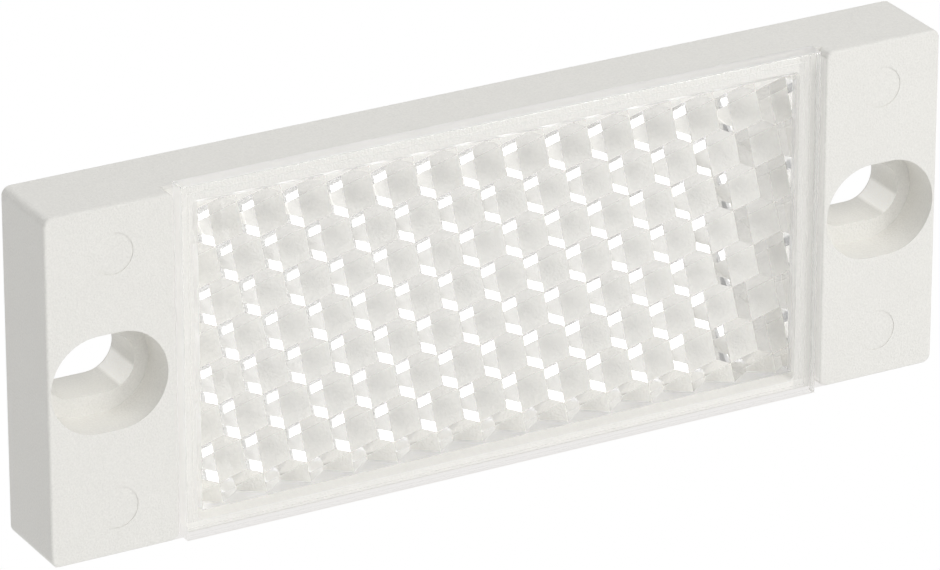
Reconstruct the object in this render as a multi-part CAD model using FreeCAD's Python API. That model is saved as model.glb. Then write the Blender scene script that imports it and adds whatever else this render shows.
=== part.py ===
"""Screw-on prismatic reflector: a white housing with a clear prism lens welded into it.

Frame, in millimetres: X runs along the length, the lens faces -Y, and +Z is up.
The origin is the centre of the flat back face.
"""
import FreeCAD, Part
import math
import os

# ---- housing -------------------------------------------------------------
LENGTH = 83.0            # overall, along X
HEIGHT = 30.5            # overall, along Z
DEPTH = 7.8              # back face to the front of the end blocks
SEAT_LENGTH = 60.4       # between the two screw blocks
SHIFT_X = 0.2            # seat, pocket, lens and ejector marks lie a little off the middle
CORNER_RADIUS = 0.8      # corners of a block, seen from the front
FRONT_ROUND = 0.25       # rounding of the front edges of a block
BACK_ROUND = 0.25        # rounding of the edges of the back face
SEAT_DEPTH = 1.5         # from the front of the blocks back to the lens seat

# ---- pocket behind the lens ----------------------------------------------
POCKET_LENGTH = 56.4
POCKET_HEIGHT = 28.1
POCKET_SHIFT_Z = -0.3    # the pocket lies a little low on the housing
POCKET_RADIUS = 0.6
BACK_WALL = 2.4

# ---- screw slots and ejector marks ---------------------------------------
SLOT_SPACING = 72.0      # centre to centre, along X
SLOT_LENGTH = 8.0
SLOT_WIDTH = 5.0
RECESS_LENGTH = 10.4     # wider step that takes the screw head
RECESS_WIDTH = 8.5
RECESS_DEPTH = 3.6
MARK_DIAMETER = 3.6      # shallow circles left by the ejector pins
MARK_DEPTH = 0.06
MARK_SPACING_X = 71.4
MARK_SPACING_Z = 22.2

# ---- prism lens ----------------------------------------------------------
LENS_LENGTH = 59.3
LENS_HEIGHT = 31.0
LENS_SHIFT_Z = 0.05      # the lens is welded a little high on the housing
LENS_PROUD = 0.2         # lens face ahead of the front of the blocks
LENS_FLANGE = 1.6        # thickness of the flat part
LENS_EDGE_ROUND = 0.15   # rounding round the front of the flange
WELD_INSET = 0.8         # edge of the flange to the middle of the weld rib
WELD_WIDTH = 0.5
WELD_SINK = 0.03         # how far the rib has melted into the seat
PRISM_PITCH = 4.02       # neighbouring prisms of a row, tip to tip
PRISM_FIELD_LENGTH = 55.6
PRISM_FIELD_HEIGHT = 27.1
PRISM_VALLEY = 0.2       # front of the prisms behind the seat plane
PRISM_SHIFT_X = 0.45     # place of the middle prism on the lens
PRISM_SHIFT_Z = 0.72

FRONT_Y = -DEPTH
SEAT_Y = FRONT_Y + SEAT_DEPTH
LENS_FRONT_Y = FRONT_Y - LENS_PROUD
FLANGE_BACK_Y = LENS_FRONT_Y + LENS_FLANGE
OVERCUT = 1.0            # how far a cutting tool runs past the face it opens


def centred_box(length_x, height_z, y_low, y_high, x_mid=0.0):
    """Box centred on x_mid and on Z = 0, between two Y planes."""
    corner = FreeCAD.Vector(x_mid - length_x / 2, y_low, -height_z / 2)
    return Part.makeBox(length_x, y_high - y_low, height_z, corner)


def edges_along_y(shape):
    """Straight edges that run front to back."""
    found = []
    for edge in shape.Edges:
        start, end = edge.Vertexes[0].Point, edge.Vertexes[-1].Point
        if abs(start.x - end.x) < 1e-6 and abs(start.z - end.z) < 1e-6:
            found.append(edge)
    return found


def edges_on_plane(shape, y):
    """Edges that lie wholly on one Y plane."""
    return [e for e in shape.Edges if abs(e.BoundBox.YMin - y) < 1e-6 and abs(e.BoundBox.YMax - y) < 1e-6]


def rounded_box(length_x, height_z, y_low, y_high, radius, x_mid=0.0):
    """Box whose four front-to-back edges are rounded."""
    box = centred_box(length_x, height_z, y_low, y_high, x_mid)
    return box.makeFillet(radius, edges_along_y(box))


def racetrack(length_x, width_z, y_low, y_high, x_mid):
    """Slot-shaped prism with round ends, long along X."""
    return rounded_box(length_x, width_z, y_low, y_high, width_z / 2 - 1e-4, x_mid)


def base_plate():
    """Rounded plate from the back face up to the lens seat."""
    plate = rounded_box(LENGTH, HEIGHT, SEAT_Y, 0.0, CORNER_RADIUS)
    return plate.makeFillet(BACK_ROUND, edges_on_plane(plate, 0.0))


def end_block(side):
    """Raised block at one end, with rounded front edges; side is -1 or +1."""
    outer, inner = side * LENGTH / 2, SHIFT_X + side * SEAT_LENGTH / 2
    x_mid = (outer + inner) / 2
    block = rounded_box(abs(outer - inner), HEIGHT, FRONT_Y, SEAT_Y, CORNER_RADIUS, x_mid)
    return block.makeFillet(FRONT_ROUND, edges_on_plane(block, FRONT_Y))


def screw_slot(side):
    """Through slot and the wider recess for the screw head."""
    x_mid = side * SLOT_SPACING / 2
    slot = racetrack(SLOT_LENGTH, SLOT_WIDTH, FRONT_Y - OVERCUT, OVERCUT, x_mid)
    recess = racetrack(RECESS_LENGTH, RECESS_WIDTH, FRONT_Y - OVERCUT, FRONT_Y + RECESS_DEPTH, x_mid)
    return slot.fuse(recess)


def ejector_marks():
    """Four shallow round marks on the fronts of the blocks."""
    marks = []
    for side_x in (-1, 1):
        for side_z in (-1, 1):
            x, z = SHIFT_X + side_x * MARK_SPACING_X / 2, side_z * MARK_SPACING_Z / 2
            centre = FreeCAD.Vector(x, FRONT_Y - OVERCUT, z)
            inwards = FreeCAD.Vector(0, 1, 0)
            marks.append(Part.makeCylinder(MARK_DIAMETER / 2, OVERCUT + MARK_DEPTH, centre, inwards))
    return marks


def housing():
    """White moulding: plate, two screw blocks and the pocket for the prisms."""
    body = base_plate().fuse([end_block(-1), end_block(1)]).removeSplitter()
    pocket = rounded_box(POCKET_LENGTH, POCKET_HEIGHT, SEAT_Y - OVERCUT, -BACK_WALL, POCKET_RADIUS, SHIFT_X)
    pocket.translate(FreeCAD.Vector(0, 0, POCKET_SHIFT_Z))
    return body.cut([pocket, screw_slot(-1), screw_slot(1)] + ejector_marks())


def prism_facets():
    """Facets of the cube-corner prisms, each a list of four points.

    Every prism is the corner of a cube whose diagonal runs along Y. Seen from behind it fills
    a hexagon of the honeycomb with three square facets, so neighbours meet without a gap.
    """
    circumradius = PRISM_PITCH / math.sqrt(3)
    step = PRISM_PITCH / math.sqrt(6)      # fall from the tip to the near corners, and on to the far ones
    tip_y = SEAT_Y + PRISM_VALLEY + 2 * step
    row_step = PRISM_PITCH * math.sqrt(3) / 2
    rows = int(PRISM_FIELD_HEIGHT / row_step) + 1
    columns = int(PRISM_FIELD_LENGTH / PRISM_PITCH) + 1
    facets = []
    for row in range(-rows, rows + 1):
        for column in range(-columns, columns + 1):
            x = PRISM_SHIFT_X + (column + 0.5 * (row % 2)) * PRISM_PITCH
            z = PRISM_SHIFT_Z + row * row_step
            for facing in (90, 210, 330):
                corners = [(x, tip_y, z)]
                for turn, fall in ((-60, 1), (0, 2), (60, 1)):
                    angle = math.radians(facing + turn)
                    corners.append((x + circumradius * math.cos(angle), tip_y - fall * step,
                                    z + circumradius * math.sin(angle)))
                facets.append(corners)
    return facets


def clip(polygon, axis, limit, side):
    """Part of a polygon where side * coordinate stays below side * limit."""
    kept = []
    for here, there in zip(polygon, polygon[1:] + polygon[:1]):
        here_in = side * here[axis] <= side * limit + 1e-9
        there_in = side * there[axis] <= side * limit + 1e-9
        if here_in:
            kept.append(here)
        if here_in != there_in:
            share = (limit - here[axis]) / (there[axis] - here[axis])
            point = [a + share * (b - a) for a, b in zip(here, there)]
            point[axis] = limit
            kept.append(tuple(point))
    return kept


def tidy_loop(points):
    """Drop points that repeat the one before them."""
    loop = []
    for point in points:
        if not loop or math.dist(point, loop[-1]) > 1e-6:
            loop.append(point)
    if len(loop) > 1 and math.dist(loop[0], loop[-1]) < 1e-6:
        loop.pop()
    return loop


def face_of(points):
    vectors = [FreeCAD.Vector(*p) for p in points]
    return Part.Face(Part.makePolygon(vectors + vectors[:1]))


def prism_block():
    """Closed solid of all the prisms, cut square at the edges of the field."""
    limits = ((0, PRISM_FIELD_LENGTH / 2), (2, PRISM_FIELD_HEIGHT / 2))
    polygons = []
    for facet in prism_facets():
        for axis, half in limits:
            for side in (-1, 1):
                facet = clip(facet, axis, side * half, side) if facet else facet
        facet = tidy_loop(facet)
        if len(facet) > 2 and face_area(facet) > 1e-4:
            polygons.append(facet)
    base_y = FLANGE_BACK_Y - LENS_FLANGE / 2
    faces = [face_of(p) for p in polygons]
    for axis, half in limits:
        other = 2 - axis
        for side in (-1, 1):
            edge = sorted({tuple(round(c, 7) for c in p) for polygon in polygons for p in polygon
                           if abs(p[axis] - side * half) < 1e-6}, key=lambda p: p[other])
            foot = [tuple(base_y if i == 1 else c for i, c in enumerate(p)) for p in (edge[-1], edge[0])]
            faces.append(face_of(list(edge) + foot))
    x, z = limits[0][1], limits[1][1]
    faces.append(face_of([(-x, base_y, -z), (x, base_y, -z), (x, base_y, z), (-x, base_y, z)]))
    return solid_from(faces)


def face_area(points):
    """Area of a polygon seen along Y."""
    total = 0.0
    for here, there in zip(points, points[1:] + points[:1]):
        total += here[0] * there[2] - there[0] * here[2]
    return abs(total) / 2


def solid_from(faces):
    """Sew plane faces into one closed solid."""
    sewn = Part.Compound(faces)
    sewn.sewShape(1e-4)
    solid = Part.Solid(sewn.Shells[0])
    if solid.Volume < 0:
        solid.reverse()
    return solid


def weld_rib():
    """Low rib round the back of the flange, which carries the lens on the seat."""
    outer = 2 * WELD_INSET - WELD_WIDTH
    inner = 2 * WELD_INSET + WELD_WIDTH
    y_low = FLANGE_BACK_Y - LENS_FLANGE / 2
    ring = centred_box(LENS_LENGTH - outer, LENS_HEIGHT - outer, y_low, SEAT_Y + WELD_SINK)
    return ring.cut(centred_box(LENS_LENGTH - inner, LENS_HEIGHT - inner, y_low - OVERCUT, SEAT_Y + OVERCUT))


def prism_lens():
    """Clear moulding: flat flange in front, weld rib and prisms behind."""
    flange = centred_box(LENS_LENGTH, LENS_HEIGHT, LENS_FRONT_Y, FLANGE_BACK_Y)
    rounded = edges_along_y(flange) + edges_on_plane(flange, LENS_FRONT_Y)
    flange = flange.makeFillet(LENS_EDGE_ROUND, rounded)
    lens = flange.fuse([weld_rib(), prism_block()]).removeSplitter()
    return lens.translated(FreeCAD.Vector(SHIFT_X, 0, LENS_SHIFT_Z))


def main():
    os.makedirs("parts", exist_ok=True)
    for name, shape in (("housing", housing()), ("prism_lens", prism_lens())):
        if not shape.isValid() or len(shape.Solids) != 1:
            raise ValueError(f"{name}: {len(shape.Solids)} solids, valid {shape.isValid()}")
        shape.Solids[0].exportStep(f"parts/{name}.step")
        box = shape.BoundBox
        print(f"{name}: {len(shape.Faces)} faces, {shape.Volume:.1f} mm3,",
              f"X {box.XMin:.2f} {box.XMax:.2f} Y {box.YMin:.2f} {box.YMax:.2f} Z {box.ZMin:.2f} {box.ZMax:.2f}")


main()
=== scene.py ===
import bpy
import math
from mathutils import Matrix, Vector


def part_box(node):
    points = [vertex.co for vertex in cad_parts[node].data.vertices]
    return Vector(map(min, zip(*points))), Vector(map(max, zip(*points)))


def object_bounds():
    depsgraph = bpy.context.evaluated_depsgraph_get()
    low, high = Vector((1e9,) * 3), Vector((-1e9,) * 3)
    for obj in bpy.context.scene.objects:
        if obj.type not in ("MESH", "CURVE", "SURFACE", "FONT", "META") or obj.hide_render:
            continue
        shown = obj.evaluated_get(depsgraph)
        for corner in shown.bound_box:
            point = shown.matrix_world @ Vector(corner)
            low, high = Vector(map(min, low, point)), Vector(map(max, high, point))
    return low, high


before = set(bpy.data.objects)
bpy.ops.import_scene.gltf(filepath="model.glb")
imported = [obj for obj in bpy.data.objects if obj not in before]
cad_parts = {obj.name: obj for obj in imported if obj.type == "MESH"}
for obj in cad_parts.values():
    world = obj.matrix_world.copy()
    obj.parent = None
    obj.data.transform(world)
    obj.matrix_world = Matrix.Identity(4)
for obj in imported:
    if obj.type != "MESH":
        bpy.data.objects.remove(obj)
cad_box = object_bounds()

# ---- camera: metres and degrees; azimuth is measured from -Y round towards -X ----
CAMERA_AZIMUTH = math.radians(28.94)
CAMERA_ELEVATION = math.radians(23.93)
CAMERA_DISTANCE = 0.5855
CAMERA_TARGET = Vector((-0.0033, -0.0078, 0.0015))
FOCAL_LENGTH = 275.4
SENSOR_WIDTH = 36.0
CLIP_END = 10.0

# ---- light tent: soft lobes as (direction, strength, power), a dark spot and a lamp ----
SKY_LOBES = (
    ((0.0, -1.0, 1.0), 2.14, 6.0),      # broad light above the front
    ((0.0, 1.0, 1.0), 2.07, 6.0),       # broad light above the back
    ((-1.0, -1.0, 1.2), 0.37, 6.0),     # weak light on the left
)
CAMERA_SIZE = math.radians(11.0)        # half angle of the dark camera, which the prisms mirror
LAMP_PLACE = Vector((0.30, -0.35, 0.30))
LAMP_SIZE = 0.2
LAMP_POWER = 0.8                        # watts

# ---- glowing table ----
TABLE_COLOUR = (1.0, 1.0, 1.0, 1.0)
CONTACT_SHADOW_COLOUR = (0.83, 0.816, 0.80, 1.0)   # painted contact shadow on the table under the object
COVER_INSET = 0.0006                    # the painted contact shadow ends this far inside the housing's outline
TABLE_HALF_SIZE = 3.0

# ---- white plastic ----
WHITE = (1.0, 1.0, 1.0, 1.0)
PLASTIC_COLOUR = (0.775, 0.765, 0.73)
PLASTIC_ROUGHNESS = 0.45
GRAIN_SCALE = 6000.0                    # features per metre
GRAIN_DETAIL = 3.0
GRAIN_DEPTH = 0.00005                   # relief of the grain, in metres
GRAIN_TINT = 0.2                        # share of the colour that the grain varies
GRAIN_ROUGHNESS = 0.15
TINT_SCALE = 300.0                      # broad variation of the colour
TINT_DETAIL = 2.0
TINT_DEPTH = 0.03

# ---- plastic behind the lens: painted glow and brightness where light soaks through its thin walls, and painted shade ----
LENS_GAP = 0.0006                       # from the lens's sides to the screw blocks
EDGE_INSET = 0.0001                     # keeps effects off the housing's outer faces
POCKET_FLOOR = -0.0025                  # just in front of the pocket's floor
POCKET_BACK = -0.0023                   # just behind it
WALL_SLOPE = 0.5                        # a face is a wall while its normal leans less than this
PAINTED_LIGHT_GAIN = 0.08                     # painted light: extra brightness painted into the colour of all plastic behind the lens
WALL_GLOW = 0.17                        # glow of the pocket's walls
BED_GLOW = 0.06                         # glow of its bottom wall
GLOW_EDGE = 0.0100                      # height where the glow of the floor's top begins
GLOW_REACH = 0.0030                     # it is full this far above
GLOW_FLOOR = 0.24                       # how strong it is then
LOW_SEAT = -0.0144                      # the seat below this height glows too
LOW_SEAT_GLOW = 0.055
RIGHT_SEAT = 0.0283                     # the seat to the right of this is shaded by its block
RIGHT_SHADE = 0.12

# ---- shade of the prism tips on the pocket floor ----
PRISM_PITCH = 0.00402
ROW_PAIR = PRISM_PITCH * math.sqrt(3)   # height of two rows of prisms
TIP_SHADE_X = 0.00125                   # middle of the shade under one prism
TIP_SHADE_Z = 0.00017
TIP_SHADE_SIZE = 0.0008
TIP_SHADE_DEPTH = 0.16

# ---- painted glow in the screw slots ----
SLOT_PLACE = 0.036                      # middle of a screw slot, along X, on either side
SLOT_HALF_LENGTH = 0.0053
SLOT_HALF_WIDTH = 0.0043
SLOT_FRONT = -0.00775
SLOT_LEDGE = -0.0042                    # bottom of the recess for the screw head
SLOT_GLOW = 0.05                        # painted glow at the lowest point of the recess
SLOT_PATCH = 0.19                       # painted glow on the patch of the slot wall behind the recess that faces up and to the left
SLOT_PATCH_WAY = (-0.76, 0.0, 0.65)     # the patch faces this way
SLOT_PATCH_EDGE = 0.9                   # cosine at its edge
SLOT_PATCH_SLOPE = 20.0

# ---- clear acrylic ----
ACRYLIC_IOR = 1.49
SURFACE_PASS = 0.97                     # share of soft light that gets through each surface
FROST_ROUGHNESS = 0.45
FROST_COLOUR = (0.97, 0.965, 0.955, 1.0)
HAZE_SCALE = 400.0
HAZE_DETAIL = 2.0
HAZE_ROUGHNESS = 0.06
FROST_BACK = -0.0053                    # foot of the end walls of the prism field
SQUARE_ENOUGH = 0.9                     # least part of a normal along its axis

# ---- light paths: deep enough for the prisms ----
MAX_BOUNCES = 48
CLEAR_BOUNCES = 40
DIFFUSE_BOUNCES = 8
TRANSPARENT_BOUNCES = 16


def new_material(name):
    """Material with an output node alone; returns it with its node tree and that node."""
    material = bpy.data.materials.new(name)
    material.use_nodes = True
    tree = material.node_tree
    tree.nodes.clear()
    output = tree.nodes.new("ShaderNodeOutputMaterial")
    return material, tree, output


def math_node(tree, operation, *values):
    """Math node whose inputs are numbers or sockets; returns its output."""
    node = tree.nodes.new("ShaderNodeMath")
    node.operation = operation
    for socket, value in zip(node.inputs, values):
        if isinstance(value, (int, float)):
            socket.default_value = value
        else:
            tree.links.new(value, socket)
    return node.outputs[0]


def product(tree, first, *others):
    """Product of numbers or sockets; returns its output."""
    for other in others:
        first = math_node(tree, "MULTIPLY", first, other)
    return first


def centred(tree, value, depth):
    """Value between 0 and 1 turned into one between -depth / 2 and depth / 2."""
    return math_node(tree, "MULTIPLY_ADD", value, depth, -depth / 2)


def clamped(tree, value):
    """Value kept between 0 and 1; returns its output."""
    return math_node(tree, "MINIMUM", math_node(tree, "MAXIMUM", value, 0.0), 1.0)


def mix_colours(tree, factor, first, second):
    """Mix of two fixed colours; returns its output."""
    node = tree.nodes.new("ShaderNodeMix")
    node.data_type = "RGBA"
    sockets = {socket.identifier: socket for socket in list(node.inputs) + list(node.outputs)}
    tree.links.new(factor, sockets["Factor_Float"])
    sockets["A_Color"].default_value = first
    sockets["B_Color"].default_value = second
    return sockets["Result_Color"]


def mix_shaders(tree, factor, first, second):
    """Mix of two shaders; returns its output."""
    node = tree.nodes.new("ShaderNodeMixShader")
    tree.links.new(factor, node.inputs[0])
    tree.links.new(first, node.inputs[1])
    tree.links.new(second, node.inputs[2])
    return node.outputs[0]


def camera_offset():
    """From the camera's target to the camera."""
    flat = math.cos(CAMERA_ELEVATION) * CAMERA_DISTANCE
    return Vector((-math.sin(CAMERA_AZIMUTH) * flat, -math.cos(CAMERA_AZIMUTH) * flat,
                   math.sin(CAMERA_ELEVATION) * CAMERA_DISTANCE))


def make_camera():
    data = bpy.data.cameras.new("camera")
    data.lens = FOCAL_LENGTH
    data.sensor_width = SENSOR_WIDTH
    data.clip_end = CLIP_END
    camera = bpy.data.objects.new("camera", data)
    bpy.context.scene.collection.objects.link(camera)
    offset = camera_offset()
    camera.location = CAMERA_TARGET + offset
    camera.rotation_euler = (-offset).to_track_quat("-Z", "Y").to_euler()
    bpy.context.scene.camera = camera


def along(tree, way, direction):
    """Cosine of the angle between a way and a direction; returns its output."""
    dot = tree.nodes.new("ShaderNodeVectorMath")
    dot.operation = "DOT_PRODUCT"
    dot.inputs[1].default_value = Vector(direction).normalized()
    tree.links.new(way, dot.inputs[0])
    return dot.outputs["Value"]


def sky_lobe(tree, way, direction, strength, power):
    """Radiance of one soft lobe of the sky; returns its output."""
    facing = math_node(tree, "MAXIMUM", along(tree, way, direction), 0.0)
    return product(tree, math_node(tree, "POWER", facing, power), strength)


def make_world():
    """Soft light tent round the object, with the dark camera in it."""
    world = bpy.data.worlds.new("light_tent")
    world.use_nodes = True
    tree = world.node_tree
    way = tree.nodes.new("ShaderNodeTexCoord").outputs["Generated"]
    level = 0.0
    for direction, strength, power in SKY_LOBES:
        level = math_node(tree, "ADD", sky_lobe(tree, way, direction, strength, power), level)
    to_camera = along(tree, way, camera_offset())
    level = product(tree, level, math_node(tree, "LESS_THAN", to_camera, math.cos(CAMERA_SIZE)))
    background = tree.nodes["Background"]
    background.inputs["Color"].default_value = WHITE
    tree.links.new(level, background.inputs["Strength"])
    bpy.context.scene.world = world
    bpy.context.scene.view_settings.view_transform = "Standard"


def make_lamp():
    """Square soft lamp on the right, above the front."""
    data = bpy.data.lights.new("lamp", "AREA")
    data.size = LAMP_SIZE
    data.energy = LAMP_POWER
    lamp = bpy.data.objects.new("lamp", data)
    bpy.context.scene.collection.objects.link(lamp)
    lamp.location = LAMP_PLACE
    lamp.rotation_euler = (-LAMP_PLACE).to_track_quat("-Z", "Y").to_euler()


def parts_of(tree, vector):
    """Separate XYZ node fed with a vector; its outputs are X, Y and Z."""
    node = tree.nodes.new("ShaderNodeSeparateXYZ")
    tree.links.new(vector, node.inputs[0])
    return node


def covered_by(tree, place, node, inset):
    """1 on the part of the table under a node, kept inset from its outline, else 0."""
    low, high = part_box(node)
    covered = 1.0
    for axis in (0, 1):
        offset = math_node(tree, "SUBTRACT", place.outputs[axis], (low[axis] + high[axis]) / 2)
        half = (high[axis] - low[axis]) / 2 - inset
        inside = math_node(tree, "LESS_THAN", math_node(tree, "ABSOLUTE", offset), half)
        covered = product(tree, inside, covered)
    return covered


def make_table():
    """White light table that the object stands on, with a painted contact shadow where the object covers
    it.
    """
    material, tree, output = new_material("light_table")
    geometry = tree.nodes.new("ShaderNodeNewGeometry")
    place = parts_of(tree, geometry.outputs["Position"])
    covered = math_node(tree, "MAXIMUM", covered_by(tree, place, "housing", COVER_INSET),
                        covered_by(tree, place, "prism_lens", 0.0))
    glow = tree.nodes.new("ShaderNodeEmission")
    # painted contact shadow: the table glows darker where the object covers it
    tree.links.new(mix_colours(tree, covered, TABLE_COLOUR, CONTACT_SHADOW_COLOUR), glow.inputs["Color"])
    tree.links.new(glow.outputs[0], output.inputs["Surface"])
    mesh = bpy.data.meshes.new("light_table")
    z = cad_box[0][2]
    half = TABLE_HALF_SIZE
    mesh.from_pydata([(-half, -half, z), (half, -half, z), (half, half, z), (-half, half, z)],
                     [], [(0, 1, 2, 3)])
    table = bpy.data.objects.new("light_table", mesh)
    bpy.context.scene.collection.objects.link(table)
    mesh.materials.append(material)


def noise(tree, place, scale, detail):
    """Noise between 0 and 1 that is fixed to the object; scale is in features per metre."""
    node = tree.nodes.new("ShaderNodeTexNoise")
    node.inputs["Scale"].default_value = scale
    node.inputs["Detail"].default_value = detail
    tree.links.new(place, node.inputs["Vector"])
    return node.outputs["Fac"]


def bumped(tree, height, distance):
    """Normal of a surface with a fine relief; distance is its depth in metres."""
    node = tree.nodes.new("ShaderNodeBump")
    node.inputs["Distance"].default_value = distance
    tree.links.new(height, node.inputs["Height"])
    return node.outputs["Normal"]


def between(tree, value, low, high):
    """1 where the value lies between two numbers, else 0."""
    above = math_node(tree, "GREATER_THAN", value, low)
    return product(tree, above, math_node(tree, "LESS_THAN", value, high))


def behind_lens(tree, place):
    """1 on the housing's surfaces that the lens covers, else 0."""
    low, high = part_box("prism_lens")
    across = between(tree, place.outputs["X"], low[0] - LENS_GAP, high[0] + LENS_GAP)
    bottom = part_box("housing")[0][2] + EDGE_INSET
    up = between(tree, place.outputs["Z"], bottom, high[2] - LENS_GAP)
    in_front = math_node(tree, "LESS_THAN", place.outputs["Y"], POCKET_BACK)
    return product(tree, across, up, in_front)


def tip_distance(tree, place, offset_x, offset_z):
    """Squared distance to the nearest point of one rectangular lattice of prism tips."""
    total = 0.0
    for axis, centre, period in (("X", TIP_SHADE_X + offset_x, PRISM_PITCH),
                                 ("Z", TIP_SHADE_Z + offset_z, ROW_PAIR)):
        away = math_node(tree, "SUBTRACT", place.outputs[axis], centre)
        away = math_node(tree, "WRAP", away, period / 2, -period / 2)
        total = math_node(tree, "MULTIPLY_ADD", away, away, total)
    return total


def tip_shade(tree, place):
    """Soft shade that each prism tip throws on the pocket floor: 1 in the middle, falling to 0."""
    first = tip_distance(tree, place, 0.0, 0.0)
    second = tip_distance(tree, place, PRISM_PITCH / 2, ROW_PAIR / 2)
    nearest = math_node(tree, "MINIMUM", first, second)
    return math_node(tree, "EXPONENT", math_node(tree, "DIVIDE", nearest, -2 * TIP_SHADE_SIZE ** 2))


def painted_slot_glow(tree, place, normal):
    """Painted glow in the screw slots: most low down, and on a patch of the slot wall behind the recess
    that faces up and to the left.
    """
    away = math_node(tree, "SUBTRACT", math_node(tree, "ABSOLUTE", place.outputs["X"]), SLOT_PLACE)
    inside = product(tree,
                     math_node(tree, "LESS_THAN", math_node(tree, "ABSOLUTE", away), SLOT_HALF_LENGTH),
                     between(tree, place.outputs["Z"], -SLOT_HALF_WIDTH, SLOT_HALF_WIDTH),
                     between(tree, place.outputs["Y"], SLOT_FRONT, -EDGE_INSET))
    lower = math_node(tree, "MULTIPLY_ADD", place.outputs["Z"], -0.5 / SLOT_HALF_WIDTH, 0.5)
    patch = math_node(tree, "SUBTRACT", along(tree, normal, SLOT_PATCH_WAY), SLOT_PATCH_EDGE)
    patch = product(tree, clamped(tree, product(tree, patch, SLOT_PATCH_SLOPE)),
                    math_node(tree, "GREATER_THAN", place.outputs["Y"], SLOT_LEDGE))
    glow = math_node(tree, "MULTIPLY_ADD", patch, SLOT_PATCH, product(tree, lower, SLOT_GLOW))
    return product(tree, glow, inside)


def painted_pocket_glow(tree, place, normal, covered, on_floor):
    """Painted glow where light soaks into the pocket: through its walls, down from the top and along the
    low seat.
    """
    wall = between(tree, normal.outputs["Y"], -WALL_SLOPE, WALL_SLOPE)
    not_bed = math_node(tree, "LESS_THAN", normal.outputs["Z"], WALL_SLOPE)
    glow = math_node(tree, "MULTIPLY_ADD", not_bed, WALL_GLOW - BED_GLOW, BED_GLOW)
    glow = product(tree, glow, wall, covered)
    height = math_node(tree, "SUBTRACT", place.outputs["Z"], GLOW_EDGE)
    near_top = clamped(tree, math_node(tree, "DIVIDE", height, GLOW_REACH))
    near_top = product(tree, near_top, on_floor, covered)
    glow = math_node(tree, "MULTIPLY_ADD", near_top, GLOW_FLOOR, glow)
    low_seat = product(tree, math_node(tree, "LESS_THAN", place.outputs["Z"], LOW_SEAT), covered)
    return math_node(tree, "MULTIPLY_ADD", low_seat, LOW_SEAT_GLOW, glow)


def painted_light_and_shade(tree, place, covered, on_floor):
    """Painted light and shade in the plastic colour by place: 1 in the open, a little more behind the
    lens, less in the painted shade under the prism tips and beside the right block.
    """
    level = math_node(tree, "MULTIPLY_ADD", covered, PAINTED_LIGHT_GAIN, 1.0)
    shade = product(tree, tip_shade(tree, place), on_floor, covered)
    level = math_node(tree, "MULTIPLY_ADD", shade, -TIP_SHADE_DEPTH, level)
    right = product(tree, math_node(tree, "GREATER_THAN", place.outputs["X"], RIGHT_SEAT), covered)
    return math_node(tree, "MULTIPLY_ADD", right, -RIGHT_SHADE, level)


def white_plastic():
    """Matte white moulded plastic with a fine grain, with painted light where its thin walls pass it and
    painted shade under the prism tips and beside the right block.
    """
    material, tree, output = new_material("white_plastic")
    shader = tree.nodes.new("ShaderNodeBsdfPrincipled")
    geometry = tree.nodes.new("ShaderNodeNewGeometry")
    place = parts_of(tree, geometry.outputs["Position"])
    normal = parts_of(tree, geometry.outputs["True Normal"])
    covered = behind_lens(tree, place)
    on_floor = math_node(tree, "GREATER_THAN", place.outputs["Y"], POCKET_FLOOR)
    grain = noise(tree, geometry.outputs["Position"], GRAIN_SCALE, GRAIN_DETAIL)
    tint = noise(tree, geometry.outputs["Position"], TINT_SCALE, TINT_DETAIL)
    # painted light and shade in the base colour, behind the lens
    level = painted_light_and_shade(tree, place, covered, on_floor)
    level = math_node(tree, "ADD", level, centred(tree, grain, GRAIN_TINT))
    level = math_node(tree, "ADD", level, centred(tree, tint, TINT_DEPTH))
    colour = tree.nodes.new("ShaderNodeVectorMath")
    colour.operation = "SCALE"
    colour.inputs[0].default_value = PLASTIC_COLOUR
    tree.links.new(level, colour.inputs["Scale"])
    tree.links.new(colour.outputs[0], shader.inputs["Base Color"])
    # painted glow: in the screw slots and in the pocket
    glow = math_node(tree, "ADD", painted_slot_glow(tree, place, geometry.outputs["Normal"]),
                     painted_pocket_glow(tree, place, normal, covered, on_floor))
    shader.inputs["Emission Color"].default_value = WHITE
    tree.links.new(glow, shader.inputs["Emission Strength"])
    roughness = math_node(tree, "MULTIPLY_ADD", grain, GRAIN_ROUGHNESS, PLASTIC_ROUGHNESS)
    tree.links.new(roughness, shader.inputs["Roughness"])
    tree.links.new(bumped(tree, grain, GRAIN_DEPTH), shader.inputs["Normal"])
    tree.links.new(shader.outputs[0], output.inputs["Surface"])
    return material


def faces_along(tree, normal, axis, sign=None):
    """1 on faces square to an axis, on one side of it where sign is given, else 0."""
    value = normal.outputs[axis]
    value = math_node(tree, "ABSOLUTE", value) if sign is None else product(tree, value, sign)
    return math_node(tree, "GREATER_THAN", value, SQUARE_ENOUGH)


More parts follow.
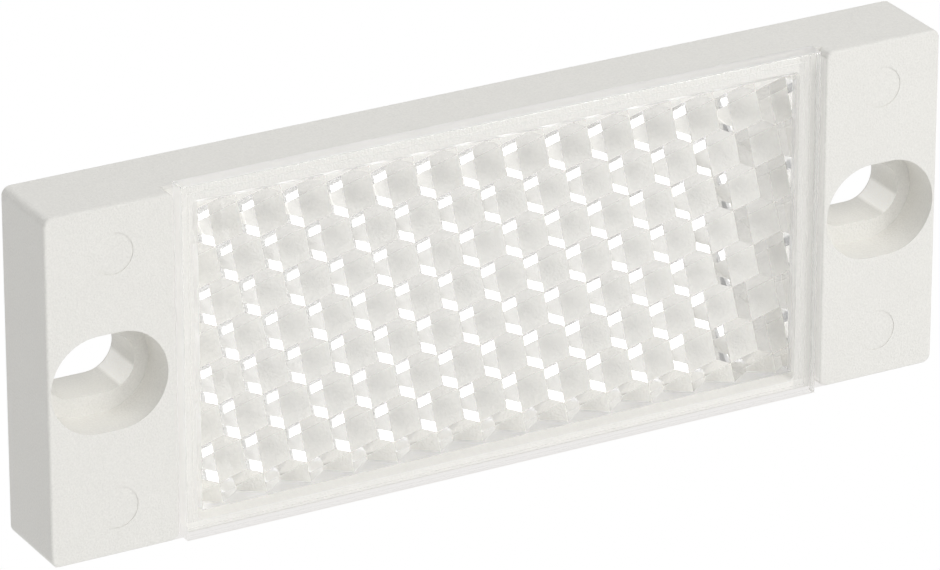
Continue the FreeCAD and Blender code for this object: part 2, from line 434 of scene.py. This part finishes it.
def frosted_faces(tree, geometry):
    """1 on the rims and the flat back of the lens, 0 on its clear front and on the prisms.

    The two end walls of the prism field are frosted only at their foot, next to the flange.
    """
    normal = parts_of(tree, geometry.outputs["True Normal"])
    place = parts_of(tree, geometry.outputs["Position"])
    at_foot = math_node(tree, "LESS_THAN", place.outputs["Y"], FROST_BACK)
    ends = product(tree, faces_along(tree, normal, "X"), at_foot)
    faces = math_node(tree, "MAXIMUM", ends, faces_along(tree, normal, "Z"))
    return math_node(tree, "MAXIMUM", faces, faces_along(tree, normal, "Y", 1.0))


def clear_acrylic():
    """Clear moulded acrylic. Soft light passes straight through to the pocket behind it."""
    material, tree, output = new_material("clear_acrylic")
    shader = tree.nodes.new("ShaderNodeBsdfPrincipled")
    geometry = tree.nodes.new("ShaderNodeNewGeometry")
    frosted = frosted_faces(tree, geometry)
    tree.links.new(mix_colours(tree, frosted, WHITE, FROST_COLOUR), shader.inputs["Base Color"])
    shader.inputs["IOR"].default_value = ACRYLIC_IOR
    shader.inputs["Transmission Weight"].default_value = 1.0
    haze = noise(tree, geometry.outputs["Position"], HAZE_SCALE, HAZE_DETAIL)
    haze = product(tree, haze, HAZE_ROUGHNESS)
    roughness = math_node(tree, "MULTIPLY_ADD", frosted, FROST_ROUGHNESS, haze)
    tree.links.new(roughness, shader.inputs["Roughness"])
    clear = tree.nodes.new("ShaderNodeBsdfTransparent")
    clear.inputs["Color"].default_value = (SURFACE_PASS, SURFACE_PASS, SURFACE_PASS, 1.0)
    path = tree.nodes.new("ShaderNodeLightPath")
    lit = mix_shaders(tree, path.outputs["Is Diffuse Ray"], shader.outputs[0], clear.outputs[0])
    lit = mix_shaders(tree, path.outputs["Is Shadow Ray"], lit, clear.outputs[0])
    tree.links.new(lit, output.inputs["Surface"])
    return material


def set_bounces():
    """Lets light pass through all the facets that it meets in the prisms."""
    cycles = bpy.context.scene.cycles
    cycles.max_bounces = MAX_BOUNCES
    cycles.transmission_bounces = CLEAR_BOUNCES
    cycles.glossy_bounces = CLEAR_BOUNCES
    cycles.diffuse_bounces = DIFFUSE_BOUNCES
    cycles.transparent_max_bounces = TRANSPARENT_BOUNCES


def dress(node, material):
    """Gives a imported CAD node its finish."""
    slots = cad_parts[node].data.materials
    slots.clear()
    slots.append(material)


make_camera()
make_world()
make_lamp()
make_table()
set_bounces()
dress("housing", white_plastic())
dress("prism_lens", clear_acrylic())
